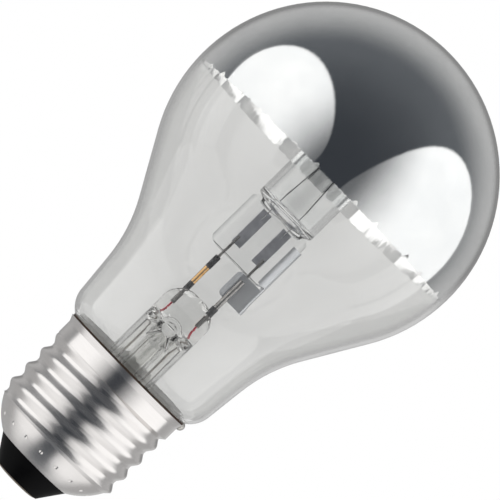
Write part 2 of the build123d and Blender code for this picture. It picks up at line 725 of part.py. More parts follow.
def foil(side, grow=0.0):
    sheet = Box(FOIL_WIDTH + 2 * grow, FOIL_THICKNESS + 2 * grow, FOIL_LENGTH + 2 * grow)
    middle = (FOIL_BOTTOM + FOIL_TOP) / 2
    return Pos(side * (LEAD_X - FOIL_SET_IN), FOIL_FRONT + FOIL_THICKNESS / 2, middle) * sheet


def burner_lead_left():
    bottom = UPPER_CRIMP_TOP - CRIMP_GRIP
    return upright(BURNER_LEAD_DIAMETER / 2, bottom, FOIL_BOTTOM + FOIL_LAP, -LEAD_X)


def burner_lead_right():
    bottom = PINCH_BOTTOM - BURNER_LEAD_TAIL
    return upright(BURNER_LEAD_DIAMETER / 2, bottom, FOIL_BOTTOM + FOIL_LAP, LEAD_X)


def filament():
    """Hairpin coil, drawn as the tube that its turns fill, with its two straight legs."""
    foot = FLOOR + LEG_RISE
    top = foot + COIL_HEIGHT
    top_x = COIL_TOP_SPACING / 2
    coil = bent_wire(
        COIL_DIAMETER / 2,
        COIL_BEND,
        (-LEG_X, LEG_Y, foot),
        (-top_x, LEG_Y, top),
        (top_x, LEG_Y, top),
        (LEG_X, LEG_Y, foot),
    )
    leg_foot = FOIL_TOP - FOIL_LAP
    for side in (LEFT, RIGHT):
        coil += upright(LEG_DIAMETER / 2, leg_foot, foot + COIL_DIAMETER, side * LEG_X, LEG_Y)
    return coil


# Clip and support of the burner


def bend_section(start, end):
    """Section of the sheet where it is bent round the edge of the pinch, between two angles."""
    outer = CenterArc((CLIP_X, 0), CLIP_OUTER, start, end - start)
    inner = CenterArc((CLIP_X, 0), CLIP_INNER, start, end - start)
    return make_face([outer, inner, Line(outer @ 0, inner @ 0), Line(outer @ 1, inner @ 1)])


def plate_section():
    """Section of the flat plate with its folded wing on the left and its flange on the right."""
    edge = LEAD_X - ROD_RADIUS - PLATE_MARGIN
    right = CLIP_X + (CLIP_INNER + CLIP_OUTER) / 2
    lean = radians(WING_LEAN)
    back = WING_WIDTH * sin(lean)
    wing = edge - WING_WIDTH * cos(lean)
    return make_face(
        Polyline(
            (right, PLATE_FRONT),
            (edge, PLATE_FRONT),
            (wing, PLATE_FRONT + back),
            (wing, PLATE_BACK + back),
            (edge, PLATE_BACK),
            (right, PLATE_BACK),
            close=True,
        )
    ) + bend_section(-FLANGE_ANGLE / 2, FLANGE_ANGLE)


def burner_clip():
    """One folded sheet: a plate on the rod, and a half tube round the edge of the pinch."""
    plate = extrude(Pos(0, 0, PLATE_BOTTOM) * plate_section(), PLATE_HEIGHT)
    left = LEAD_X - ROD_RADIUS - PLATE_MARGIN - WING_WIDTH * cos(radians(WING_LEAN))
    far = PINCH_WIDTH
    corners = [(left, PLATE_BOTTOM), (far, PLATE_BOTTOM), (far, PLATE_TOP), (left, PLATE_TOP)]
    outline = FilletPolyline(*corners, radius=[PLATE_CORNER, 0, 0, PLATE_CORNER], close=True)
    plate = plate & extrude(Plane.XZ * make_face(outline), PINCH_WIDTH, both=True)
    neck = extrude(Pos(0, 0, PLATE_TOP) * bend_section(-FLANGE_ANGLE / 2, FLANGE_ANGLE), CLIP_RELIEF)
    grip = extrude(Pos(0, 0, PLATE_TOP + CLIP_RELIEF) * bend_section(-90, 90), CLIP_GRIP)
    return plate + neck + grip


def support_rod():
    return upright(ROD_RADIUS, SUPPORT_CRIMP_BOTTOM, PLATE_TOP - ROD_SET_BACK, LEAD_X, ROD_Y)


def support_sleeve(bottom, top, grow=0.0):
    """Oval rod that takes in the right inner lead and the rod in front of it."""
    oval = Rot(0, 0, 90) * SlotCenterToCenter(-ROD_Y, 2 * (SUPPORT_CRIMP_RADIUS + grow))
    return extrude(Pos(LEAD_X, ROD_Y / 2, bottom) * oval, top - bottom)


def support_crimp():
    """Sleeve that holds the right inner lead and the rod side by side."""
    sleeve = support_sleeve(SUPPORT_CRIMP_BOTTOM, SUPPORT_CRIMP_TOP)
    sleeve -= upright(INNER_LEAD_DIAMETER / 2 + FIT, SUPPORT_CRIMP_BOTTOM, SUPPORT_CRIMP_TOP, LEAD_X)
    return sleeve - upright(ROD_RADIUS + FIT, SUPPORT_CRIMP_BOTTOM, SUPPORT_CRIMP_TOP, LEAD_X, ROD_Y)


def lamp():
    """Every piece of the lamp by its name."""
    return {
        "glass_bulb": glass_bulb(),
        "mirror_coating": mirror_coating(),
        "screw_shell": screw_shell(),
        "insulator": insulator(),
        "centre_contact": centre_contact(),
        "centre_solder": centre_solder(),
        "side_solder": side_solder(),
        "cap_cement": cap_cement(),
        "stem": stem(),
        "contact_lead": contact_lead(),
        "side_lead": side_lead(),
        "seal_wire_left": seal_wire(LEFT),
        "seal_wire_right": seal_wire(RIGHT),
        "inner_lead_left": inner_lead(LEFT, CRIMP_BOTTOM + CRIMP_GRIP),
        "inner_lead_right": inner_lead(RIGHT, SUPPORT_CRIMP_TOP),
        "lower_crimp": lower_crimp(),
        "fuse_sleeve": fuse_sleeve(),
        "fuse_wire": fuse_wire(),
        "upper_crimp": upper_crimp(),
        "support_crimp": support_crimp(),
        "support_rod": support_rod(),
        "burner_clip": burner_clip(),
        "burner": burner(),
        "burner_lead_left": burner_lead_left(),
        "burner_lead_right": burner_lead_right(),
        "foil_left": foil(LEFT),
        "foil_right": foil(RIGHT),
        "filament": filament(),
    }


os.makedirs("parts", exist_ok=True)
for name, piece in lamp().items():
    export_step(piece, f"parts/{name}.step")
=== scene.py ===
import json
from math import asin, atan2, cos, pi, prod, radians, sin

import bmesh
import bpy
from mathutils import Matrix, Vector

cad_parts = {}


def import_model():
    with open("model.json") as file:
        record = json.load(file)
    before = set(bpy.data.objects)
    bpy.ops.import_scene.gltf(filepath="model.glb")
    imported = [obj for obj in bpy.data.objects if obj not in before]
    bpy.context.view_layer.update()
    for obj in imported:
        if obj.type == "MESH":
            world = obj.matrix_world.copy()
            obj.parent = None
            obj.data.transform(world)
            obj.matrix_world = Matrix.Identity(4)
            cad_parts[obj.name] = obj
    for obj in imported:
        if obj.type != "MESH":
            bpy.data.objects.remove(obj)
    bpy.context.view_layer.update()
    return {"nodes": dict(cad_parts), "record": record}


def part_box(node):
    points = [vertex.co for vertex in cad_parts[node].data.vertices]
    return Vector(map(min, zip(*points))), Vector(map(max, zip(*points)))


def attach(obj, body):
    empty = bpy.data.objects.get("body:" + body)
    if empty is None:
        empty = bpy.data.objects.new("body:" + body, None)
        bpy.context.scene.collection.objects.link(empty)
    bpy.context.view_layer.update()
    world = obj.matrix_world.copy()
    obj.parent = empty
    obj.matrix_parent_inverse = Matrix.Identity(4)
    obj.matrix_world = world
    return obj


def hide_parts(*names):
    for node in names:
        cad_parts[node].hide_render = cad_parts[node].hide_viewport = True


# A mains halogen lamp with a silvered crown, in metres and degrees
# Z is the lamp's axis, the origin is at the centre contact and the burner's flat pinch faces -Y

MM = 0.001

# Camera
CAMERA_PLACE = (0.0, -0.65, 0.043)
CAMERA_AIM = (0.0, 0.0, 0.0567)
CAMERA_TURN = 44.5
FRAME_WIDTH = 86.24 * MM
SENSOR = 36.0

# Floor
FLOOR_HEIGHT = -0.02
FLOOR_RADIUS = 0.16
FLOOR_FADE = 0.06
FLOOR_SIDES = 96

# Even light on matt pieces
LIGHT_ALL_ROUND = 0.95

# Room that gloss mirrors, with pairs as limits of soft steps along X, Y or Z of a unit direction
ROOM_DARK = (0.046, 0.051, 0.06)
ROOM_DIM = (0.138, 0.147, 0.16)
ROOM_DEPTH = (-1.1, 0.2)
BACKDROP_GREY = 0.52
BACKDROP_DEPTH = (0.1, 0.8)

# Edge of the backdrop, which outlines crown and glass
DOME_EDGE = 0.25
GLASS_EDGE_LEFT = 0.4
GLASS_EDGE_RIGHT = 0.6
EDGE_DEPTH = (0.83, 0.93)
EDGE_SIDES = (-0.2, 0.2)
EDGE_LEVEL = (-0.02, 0.12)

# Pale table, which also mirrors the panels
TABLE_PALE = 0.45
TABLE_NEAR = 0.95
TABLE_LEVEL = (-0.12, 0.03)
TABLE_SIDES = (0.1, 0.45)
TABLE_UNDER = (-0.9, -0.6)
TABLE_MIRROR = 0.35
TABLE_DIM = 0.65
TABLE_REACH = (-0.7, -0.05)

# Soft panels: turn right of the camera, rise, half width and half height as shares of distance, lean
PANEL_LEFT = (-59.0, 7.4, 1.09, 0.68, 0.16)
PANEL_RIGHT = (64.0, 5.2, 1.37, 1.30, 0.47)
PANEL_LIGHT = 1.3
PANEL_DIM = 0.1
PANEL_FADE = (0.0, 1.1)
PANEL_EDGE = 0.06

# Backdrop that shows through clear glass, dark far above and below
BACKDROP_PALE = 0.66
PALE_DEPTH = (0.86, 0.97)
GLASS_DARK = 0.01
GLASS_LEVEL = (0.2, 0.55)

# Light bounces, enough for the glass walls that lie behind each other
BOUNCES = 28
GLOSSY_BOUNCES = 12

# Patterns and shine of the finishes
EVEN = (1.0, 1.0, 1.0)
PATTERN_LOW = 0.3
PATTERN_HIGH = 0.7
PATTERN_DETAIL = 4.0
RELIEF_DETAIL = 3.0
RELIEF_FINENESS = 3
DRAWN_STREAKS = (1.0, 1.0, 4.0)
ROLLED_STREAKS = (0.3, 0.3, 6.0)
ROLLED_SPREAD = 0.75
QUARTER_TURN = 0.25
INSULATOR_SHINE = 0.04

# Blend between the outer and inner side of a ring, where painted light on the inner side sets in
SIDE_BLEND = 4.0 * MM

# Inner glasses, closed over the seats of wires and foils
SEAT_GROW = 0.06 * MM
SAME_POINT = 0.001 * MM
GLASS_CREASE = 32.0

# Turns of the filament
WIRE_RADIUS = 0.04 * MM
WIRE_SIDES = 6
NEARLY_ALONG = 0.9
COIL_PITCH = 0.17 * MM
COIL_RADIUS = 0.16 * MM
COIL_TURN_STEPS = 10
HAIRPIN_RADIUS = 1.4 * MM
HAIRPIN_SPACING = 3.0 * MM
HAIRPIN_STEPS = 8
LEG_RADIUS = 0.08 * MM
LEG_SIDES = 2 * WIRE_SIDES
LEG_LENGTH = 6.0 * MM
FILAMENT_CREASE = 50.0

# Mirror film
FILM_COLUMNS = 1440
FILM_ROWS = 24
FILM_THICKNESS = 0.03 * MM
FILM_CREASE = 60.0

# Torn edge of the film, with waves as a count round the axis and a start in radians
FILM_JAGS = 0.4 * MM
JAG_COUNT = 389
JAG_SWAY = 2.0
JAG_SWAY_COUNT = 23
JAG_WAVES = ((173, 1.3), (61, 0.4))
FILM_TEARS = 1.1 * MM
TEAR_WAVES = ((53, 0.6), (19, 2.1), (7, 0.9))

# Nodes sealed into the two inner glasses
STEM_SEALS = (
    "seal_wire_left",
    "seal_wire_right",
    "inner_lead_left",
    "inner_lead_right",
    "lower_crimp",
    "support_crimp",
)
BURNER_SEALS = ("burner_lead_left", "burner_lead_right", "foil_left", "foil_right")


# Shader nodes


def math_node(tree, operation, *values):
    """Sum, product or the like of values and sockets."""
    node = tree.nodes.new("ShaderNodeMath")
    node.operation = operation
    for number, value in enumerate(values):
        if isinstance(value, (int, float)):
            node.inputs[number].default_value = value
        else:
            tree.links.new(value, node.inputs[number])
    return node.outputs["Value"]


def step_node(tree, value, limits, low=0.0, high=1.0):
    """Soft step of a value between two limits."""
    node = tree.nodes.new("ShaderNodeMapRange")
    node.interpolation_type = "SMOOTHSTEP"
    node.inputs["From Min"].default_value = limits[0]
    node.inputs["From Max"].default_value = limits[1]
    node.inputs["To Min"].default_value = low
    node.inputs["To Max"].default_value = high
    tree.links.new(value, node.inputs["Value"])
    return node.outputs["Result"]


def dot_node(tree, direction, fixed):
    """Share of a direction that lies along a fixed one."""
    node = tree.nodes.new("ShaderNodeVectorMath")
    node.operation = "DOT_PRODUCT"
    node.inputs[1].default_value = fixed
    tree.links.new(direction, node.inputs[0])
    return node.outputs["Value"]


def mix_node(tree, share, low, high):
    """Colour between two colours or sockets. A single number is a grey."""
    node = tree.nodes.new("ShaderNodeMix")
    node.data_type = "RGBA"
    first, second = [socket for socket in node.inputs if socket.type == "RGBA"]
    result = [socket for socket in node.outputs if socket.type == "RGBA"][0]
    tree.links.new(share, node.inputs["Factor"])
    for socket, value in ((first, low), (second, high)):
        if isinstance(value, float):
            socket.default_value = (value, value, value, 1.0)
        elif isinstance(value, tuple):
            socket.default_value = (*value[:3], 1.0)
        else:
            tree.links.new(value, socket)
    return result


def noise_node(tree, scale, detail, stretch):
    """Cloudy pattern fixed to the object."""
    place = tree.nodes.new("ShaderNodeTexCoord")
    mapping = tree.nodes.new("ShaderNodeMapping")
    mapping.inputs["Scale"].default_value = stretch
    noise = tree.nodes.new("ShaderNodeTexNoise")
    noise.inputs["Scale"].default_value = scale
    noise.inputs["Detail"].default_value = detail
    tree.links.new(place.outputs["Object"], mapping.inputs["Vector"])
    tree.links.new(mapping.outputs["Vector"], noise.inputs["Vector"])
    return noise.outputs["Fac"]


def ramp_node(tree, pattern, low, high):
    """Colour that runs from one tone to another with a pattern."""
    node = tree.nodes.new("ShaderNodeValToRGB")
    start, end = node.color_ramp.elements
    start.position = PATTERN_LOW
    start.color = low
    end.position = PATTERN_HIGH
    end.color = high
    tree.links.new(pattern, node.inputs["Fac"])
    return node.outputs["Color"]


def range_node(tree, pattern, low, high):
    """Number that runs from one value to another with a pattern."""
    node = tree.nodes.new("ShaderNodeMapRange")
    node.inputs["From Min"].default_value = PATTERN_LOW
    node.inputs["From Max"].default_value = PATTERN_HIGH
    node.inputs["To Min"].default_value = low
    node.inputs["To Max"].default_value = high
    tree.links.new(pattern, node.inputs["Value"])
    return node.outputs["Result"]


# Materials


def linear(level):
    """Linear value of one screen level from 0 to 255."""
    share = level / 255
    return share / 12.92 if share <= 0.04045 else ((share + 0.055) / 1.055) ** 2.4


def colour(red, green, blue):
    """Linear colour of three screen levels."""
    return (linear(red), linear(green), linear(blue), 1.0)


def shader_of(made):
    """Main shader of a material."""
    return made.node_tree.nodes["Principled BSDF"]


def surface(name, low, high, rough, scale, stretch=EVEN, metallic=0.0, bump=0.0):
    """Material with a mottled colour and roughness, and fine relief where bump is its depth."""
    made = bpy.data.materials.new(name)
    made.use_nodes = True
    tree = made.node_tree
    shader = shader_of(made)
    pattern = noise_node(tree, scale, PATTERN_DETAIL, stretch)
    tree.links.new(ramp_node(tree, pattern, low, high), shader.inputs["Base Color"])
    tree.links.new(range_node(tree, pattern, *rough), shader.inputs["Roughness"])
    shader.inputs["Metallic"].default_value = metallic
    if bump:
        relief = tree.nodes.new("ShaderNodeBump")
        relief.inputs["Strength"].default_value = 1.0
        relief.inputs["Distance"].default_value = bump
        height = noise_node(tree, RELIEF_FINENESS * scale, RELIEF_DETAIL, stretch)
        tree.links.new(height, relief.inputs["Height"])
        tree.links.new(relief.outputs["Normal"], shader.inputs["Normal"])
    return made


def metal(name, low, high, rough, scale, stretch=EVEN, bump=0.0):
    """Bare metal."""
    return surface(name, low, high, rough, scale, stretch, 1.0, bump)


def glass(name, low, high, ior, rough, scale):
    """Clear glass with a faintly uneven tint and polish."""
    made = surface(name, low, high, rough, scale)
    shader = shader_of(made)
    shader.inputs["Transmission Weight"].default_value = 1.0
    shader.inputs["IOR"].default_value = ior
    return made


def black_glass(name, low, high, rough, scale):
    """Black glass with a weak shine."""
    made = surface(name, low, high, rough, scale)
    shader_of(made).inputs["Specular IOR Level"].default_value = INSULATOR_SHINE
    return made


def rolled_metal(name, low, high, rough, scale):
    """Metal with fine marks round the axis, which spread its shine up and down."""
    made = metal(name, low, high, rough, scale, ROLLED_STREAKS)
    tree = made.node_tree
    shader = shader_of(made)
    shader.inputs["Anisotropic"].default_value = ROLLED_SPREAD
    shader.inputs["Anisotropic Rotation"].default_value = QUARTER_TURN
    round_axis = tree.nodes.new("ShaderNodeTangent")
    round_axis.direction_type = "RADIAL"
    round_axis.axis = "Z"
    tree.links.new(round_axis.outputs["Tangent"], shader.inputs["Tangent"])
    return made


def outer_side(tree):
    """One on faces that look away from the lamp's axis, nought on faces that look towards it."""
    place = tree.nodes.new("ShaderNodeTexCoord")
    level = tree.nodes.new("ShaderNodeVectorMath")
    level.operation = "MULTIPLY"
    level.inputs[1].default_value = (1.0, 1.0, 0.0)
    outwards = tree.nodes.new("ShaderNodeVectorMath")
    outwards.operation = "DOT_PRODUCT"
    tree.links.new(place.outputs["Object"], level.inputs[0])
    tree.links.new(level.outputs["Vector"], outwards.inputs[0])
    tree.links.new(place.outputs["Normal"], outwards.inputs[1])
    return step_node(tree, outwards.outputs["Value"], (-SIDE_BLEND, 0.0))


def painted_lit_inner_side(made, inner):
    """Paints a ring's side towards the lamp's axis another colour, as painted light on that inner side."""
    tree = made.node_tree
    base = shader_of(made).inputs["Base Color"]
    outer = base.links[0].from_socket
    tree.links.new(mix_node(tree, outer_side(tree), inner, outer), base)
    return made


def cement(name):
    """Cement, browned on its open side and pale on the side that lies on the glass, where it is painted
    near white as painted light against the shade in the hollow between glass and shell.
    """
    made = surface(name, colour(38, 26, 19), colour(76, 54, 40), (0.6, 0.9), 1500.0, bump=0.08 * MM)
    # The near-white inner colour is painted light.
    return painted_lit_inner_side(made, colour(250, 249, 247))


def silver_film(name):
    """Silver film, whose bare inner side is painted brighter than its side on the glass, as painted light
    that whitens the far side seen through the bulb.
    """
    made = metal(name, colour(226, 228, 230), colour(238, 239, 240), (0.015, 0.05), 90.0)
    # The brighter inner colour is painted light.
    return painted_lit_inner_side(made, colour(253, 253, 253))


def glasses():
    """Bulb, stem, burner and insulator."""
    return [
        glass("clear_glass", colour(247, 247, 246), colour(251, 251, 250), 1.5, (0.0, 0.012), 60.0),
        glass("stem_glass", colour(246, 246, 245), colour(251, 251, 250), 1.56, (0.0, 0.02), 150.0),
        glass("quartz", colour(247, 248, 248), colour(252, 252, 252), 1.46, (0.0, 0.02), 150.0),
        black_glass("insulator_glass", colour(5, 5, 6), colour(10, 10, 11), (0.35, 0.5), 300.0),
    ]


def cap_finishes():
    """Film, shell, contacts, solder and cement."""
    return [
        silver_film("mirror_film"),
        rolled_metal("cap_metal", colour(225, 222, 220), colour(228, 225, 223), (0.25, 0.27), 400.0),
        metal("contact_metal", colour(120, 108, 92), colour(156, 142, 122), (0.35, 0.5), 500.0),
        metal("solder", colour(168, 166, 162), colour(214, 212, 206), (0.22, 0.45), 900.0, bump=0.05 * MM),
        cement("cement"),
    ]


def inner_finishes():
    """Wires, crimps, fuse, clip, foils and filament."""
    fuse = (colour(212, 164, 102), colour(230, 188, 130))
    clip = (colour(200, 203, 208), colour(216, 218, 222))
    foil = (colour(180, 182, 192), colour(214, 216, 224))
    return [
        metal("lead_wire", colour(90, 84, 80), colour(150, 142, 134), (0.25, 0.4), 900.0),
        metal("seal_wire", colour(178, 40, 66), colour(214, 74, 86), (0.3, 0.5), 900.0),
        metal("inner_wire", colour(92, 90, 90), colour(150, 148, 146), (0.25, 0.42), 900.0),
        metal("crimp_metal", colour(34, 34, 37), colour(78, 78, 82), (0.28, 0.45), 900.0),
        metal("fuse_tube", *fuse, (0.16, 0.24), 900.0, DRAWN_STREAKS),
        metal("rod_metal", colour(128, 126, 125), colour(160, 158, 156), (0.06, 0.1), 500.0),
        metal("filament_wire", colour(70, 70, 74), colour(120, 120, 124), (0.35, 0.5), 900.0),
        surface("clip_metal", *clip, (0.06, 0.1), 500.0, metallic=0.55),
        surface("foil", *foil, (0.35, 0.5), 900.0, metallic=0.5),
    ]


def slot_of(made):
    """Slot of a material, whose name gains a number where another one already has it."""
    return made.name.partition(".")[0]


def materials():
    """Every material by the name of its slot."""
    return {slot_of(made): made for made in glasses() + cap_finishes() + inner_finishes()}


# Pieces


def smoothed(form, mesh, crease):
    """Writes a form to its mesh, smooth but for edges sharper than the crease."""
    for face in form.faces:
        face.smooth = True
    form.to_mesh(mesh)
    form.free()
    mesh.set_sharp_from_angle(angle=radians(crease))
    return mesh


def placed(name, mesh, slot, node, finishes):
    """A piece that stands for a node of the part and takes its slot's material."""
    piece = bpy.data.objects.new(name, mesh)
    bpy.context.scene.collection.objects.link(piece)
    mesh.materials.clear()
    mesh.materials.append(finishes[slot])
    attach(piece, "root")
    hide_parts(node)
    evened = piece.modifiers.new("evened", "WEIGHTED_NORMAL")
    evened.keep_sharp = True


# Inner glasses


def seats_of(inner_nodes):
    """Boxes round the nodes that are sealed in, each a lowest and a highest corner."""
    grow = Vector((SEAT_GROW, SEAT_GROW, SEAT_GROW))
    seats = []
    for inner in inner_nodes:
        low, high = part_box(inner)
        seats.append((low - grow, high + grow))
    return seats


def inside_of(seats, point):
    """True where a point lies in one of the boxes."""
    for low, high in seats:
        if all(low[axis] <= point[axis] <= high[axis] for axis in range(3)):
            return True
    return False


def hollow_faces(form):
    """Faces of closed hollows, which do not hang together with the lowest point."""
    start = min(form.verts, key=lambda vert: vert.co.z)
    found = {start}
    front = [start]
    while front:
        vert = front.pop()
        for edge in vert.link_edges:
            other = edge.other_vert(vert)
            if other not in found:
                found.add(other)
                front.append(other)
    return [face for face in form.faces if face.verts[0] not in found]


def sealed(node, inner_nodes, frame):
    """Copy of a glass node with the seats of the pieces sealed in it closed up, as fused glass is."""
    seats = seats_of(inner_nodes)
    mesh = frame["nodes"][node].data.copy()
    mesh.name = node
    form = bmesh.new()
    form.from_mesh(mesh)
    bmesh.ops.remove_doubles(form, verts=form.verts, dist=SAME_POINT)
    lining = [face for face in form.faces if all(inside_of(seats, vert.co) for vert in face.verts)]
    bmesh.ops.delete(form, geom=lining, context="FACES")
    rims = [edge for edge in form.edges if len(edge.link_faces) == 1]
    bmesh.ops.holes_fill(form, edges=rims, sides=0)
    bmesh.ops.triangulate(form, faces=[face for face in form.faces if len(face.verts) > 4])
    bmesh.ops.recalc_face_normals(form, faces=form.faces)
    bmesh.ops.reverse_faces(form, faces=hollow_faces(form))
    return smoothed(form, mesh, GLASS_CREASE)


# Filament


def ring_at(form, centre, along, radius, sides):
    """Ring of points round a place on a wire."""
    side = Vector((0, 1, 0)) if abs(along.y) < NEARLY_ALONG else Vector((1, 0, 0))
    across = along.cross(side).normalized()
    other = along.cross(across).normalized()
    ring = []
    for step in range(sides):
        turn = 2 * pi * step / sides
        ring.append(form.verts.new(centre + radius * (cos(turn) * across + sin(turn) * other)))
    return ring


def tube(form, points, radius, sides):
    """Closed round tube along a run of points."""
    rings = []
    for number, point in enumerate(points):
        before = points[max(0, number - 1)]
        after = points[min(len(points) - 1, number + 1)]
        rings.append(ring_at(form, point, (after - before).normalized(), radius, sides))
    for low, high in zip(rings, rings[1:]):
        for step in range(sides):
            following = (step + 1) % sides
            form.faces.new((low[step], low[following], high[following], high[step]))
    form.faces.new(rings[0][::-1])
    form.faces.new(rings[-1])


def hairpin(foot_x, y, foot, top):
    """Middle line of the coil: up one side, round the top and down the other."""
    spread = HAIRPIN_SPACING / 2
    lean = atan2(foot_x - spread, top - foot)
    tangent = HAIRPIN_RADIUS * (1 - sin(lean)) / cos(lean)
    centre = Vector((spread - tangent, y, top - HAIRPIN_RADIUS))
    points = [Vector((foot_x, y, foot))]
    for step in range(HAIRPIN_STEPS + 1):
        share = step / HAIRPIN_STEPS
        turn = -lean * (1 - share) + (pi / 2) * share
        points.append(centre + HAIRPIN_RADIUS * Vector((cos(turn), 0, sin(turn))))
    left = [Vector((-point.x, point.y, point.z)) for point in reversed(points)]
    return points + left


def wound(path):
    """Helical turns round a middle line."""
    lengths = [0.0]
    for low, high in zip(path, path[1:]):
        lengths.append(lengths[-1] + (high - low).length)
    count = int(lengths[-1] / COIL_PITCH) * COIL_TURN_STEPS
    reach = COIL_RADIUS - WIRE_RADIUS
    points = []
    part = 0
    for step in range(count + 1):
        along = lengths[-1] * step / count
        while part < len(path) - 2 and lengths[part + 1] < along:
            part += 1
        run = path[part + 1] - path[part]
        share = (along - lengths[part]) / run.length
        across = Vector((-run.z, 0, run.x)).normalized()
        turn = 2 * pi * step / COIL_TURN_STEPS
        middle = path[part] + share * run
        points.append(middle + reach * (cos(turn) * across + sin(turn) * Vector((0, 1, 0))))
    return points


def filament_mesh():
    """Hairpin of fine turns on two straight legs."""
    low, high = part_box("filament")
    y = (low.y + high.y) / 2
    foot_x = high.x - COIL_RADIUS
    foot = low.z + LEG_LENGTH
    top = high.z - COIL_RADIUS
    form = bmesh.new()
    tube(form, wound(hairpin(foot_x, y, foot, top)), WIRE_RADIUS, WIRE_SIDES)
    for x in (-foot_x, foot_x):
        leg = [Vector((x, y, low.z)), Vector((x, y, foot + 2 * COIL_RADIUS))]
        tube(form, leg, LEG_RADIUS, LEG_SIDES)
    return smoothed(form, bpy.data.meshes.new("filament"), FILAMENT_CREASE)


# Mirror film


def ripple(turn, waves):
    """Product of even waves at an angle round the axis."""
    return prod(sin(count * turn + start) for count, start in waves)


def tear_at(turn):
    """How far the film's edge stands back at an angle round the axis."""
    sway = JAG_SWAY * sin(JAG_SWAY_COUNT * turn)
    jags = ripple(turn, ((JAG_COUNT, sway), *JAG_WAVES))
    tears = max(0.0, ripple(turn, TEAR_WAVES))
    return FILM_JAGS * (0.5 + 0.5 * jags) + FILM_TEARS * tears**2


def film_points(form, radius, centre, foot):
    """Points of one side of the film: its pole and its rings down to the torn edge."""
    rings = []
    for row in range(1, FILM_ROWS + 1):
        ring = []
        for column in range(FILM_COLUMNS):
            turn = 2 * pi * column / FILM_COLUMNS
            edge = pi / 2 - asin((foot + tear_at(turn) - centre) / radius)
            tilt = edge * row / FILM_ROWS
            flat = radius * sin(tilt)
            point = (flat * cos(turn), flat * sin(turn), centre + radius * cos(tilt))
            ring.append(form.verts.new(point))
        rings.append(ring)
    pole = form.verts.new((0, 0, centre + radius))
    return pole, rings


def film_side(form, pole, rings, order):
    """Faces of one side of the film, which look inwards where the order is -1."""
    for column in range(FILM_COLUMNS):
        following = (column + 1) % FILM_COLUMNS
        form.faces.new((pole, rings[0][column], rings[0][following])[::order])
        for upper, lower in zip(rings, rings[1:]):
            form.faces.new((upper[column], lower[column], lower[following], upper[following])[::order])


def film_mesh():
    """Thin silver shell inside the crown, with a torn lower edge."""
    low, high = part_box("mirror_coating")
    radius = (high.x - low.x) / 2
    centre = high.z - radius
    form = bmesh.new()
    outer_pole, outer = film_points(form, radius, centre, low.z)
    inner_pole, inner = film_points(form, radius - FILM_THICKNESS, centre, low.z)
    film_side(form, outer_pole, outer, 1)
    film_side(form, inner_pole, inner, -1)
    for column in range(FILM_COLUMNS):
        following = (column + 1) % FILM_COLUMNS
        form.faces.new((outer[-1][column], inner[-1][column], inner[-1][following], outer[-1][following]))
    return smoothed(form, bpy.data.meshes.new("mirror_film"), FILM_CREASE)


# Stage


def panel_light(tree, direction, panel):
    """Light of one oval soft panel, dimmer towards the camera."""
    turn, rise, half_width, half_height, lean = panel
    turn, rise = radians(turn), radians(rise)
    ahead = Vector((sin(turn) * cos(rise), -cos(turn) * cos(rise), sin(rise)))
    inwards = ahead.cross(Vector((0, 0, 1))).normalized() * (-1 if turn < 0 else 1)
    upwards = Vector((-sin(turn) * sin(rise), cos(turn) * sin(rise), cos(rise)))
    depth = dot_node(tree, direction, ahead)
    along = math_node(tree, "DIVIDE", dot_node(tree, direction, inwards), depth)
    up = math_node(tree, "DIVIDE", dot_node(tree, direction, upwards), depth)
    up = math_node(tree, "ADD", up, math_node(tree, "MULTIPLY", along, lean))
    across = math_node(tree, "POWER", math_node(tree, "DIVIDE", along, half_width), 2.0)
    tall = math_node(tree, "POWER", math_node(tree, "DIVIDE", up, half_height), 2.0)
    oval = math_node(tree, "ADD", across, tall)
    inside = step_node(tree, oval, (1 - PANEL_EDGE, 1 + PANEL_EDGE), 1.0, 0.0)
    facing = math_node(tree, "GREATER_THAN", depth, 0.0)
    fade = step_node(tree, along, PANEL_FADE, 1.0, PANEL_DIM)
    return math_node(tree, "MULTIPLY", math_node(tree, "MULTIPLY", inside, facing), fade)


def with_table(tree, room, x, z):
    """The room with a pale table at both sides under the lamp, brighter where it lies steeply below."""
    sideways = step_node(tree, math_node(tree, "ABSOLUTE", x), TABLE_SIDES)
    table = math_node(tree, "MULTIPLY", step_node(tree, z, TABLE_LEVEL, 1.0, 0.0), sideways)
    under = step_node(tree, z, TABLE_UNDER, 1.0, 0.0)
    return mix_node(tree, table, room, mix_node(tree, under, TABLE_PALE, TABLE_NEAR))


def with_edge(tree, room, x, y, z):
    """The room with the edge of the backdrop, which outlines the crown darker than the glass."""
    outline = mix_node(tree, step_node(tree, x, EDGE_SIDES), GLASS_EDGE_LEFT, GLASS_EDGE_RIGHT)
    outline = mix_node(tree, step_node(tree, z, EDGE_LEVEL), outline, DOME_EDGE)
    return mix_node(tree, step_node(tree, y, EDGE_DEPTH), room, outline)


def with_panels(tree, room, x, y, z):
    """The room with its soft panels, and their mirror image in the table."""
    direction = tree.nodes.new("ShaderNodeCombineXYZ")
    in_table = math_node(tree, "MULTIPLY", z, -TABLE_MIRROR)
    tree.links.new(x, direction.inputs["X"])
    tree.links.new(y, direction.inputs["Y"])
    tree.links.new(math_node(tree, "MAXIMUM", z, in_table), direction.inputs["Z"])
    below = step_node(tree, z, TABLE_REACH, TABLE_DIM, 1.0)
    for panel in (PANEL_LEFT, PANEL_RIGHT):
        light = panel_light(tree, direction.outputs["Vector"], panel)
        room = mix_node(tree, math_node(tree, "MULTIPLY", light, below), room, PANEL_LIGHT)
    return room


def room_of(tree, x, y, z):
    """What gloss mirrors."""
    room = mix_node(tree, step_node(tree, y, ROOM_DEPTH), ROOM_DARK, ROOM_DIM)
    room = mix_node(tree, step_node(tree, y, BACKDROP_DEPTH), room, BACKDROP_GREY)
    room = with_table(tree, room, x, z)
    room = with_edge(tree, room, x, y, z)
    return with_panels(tree, room, x, y, z)


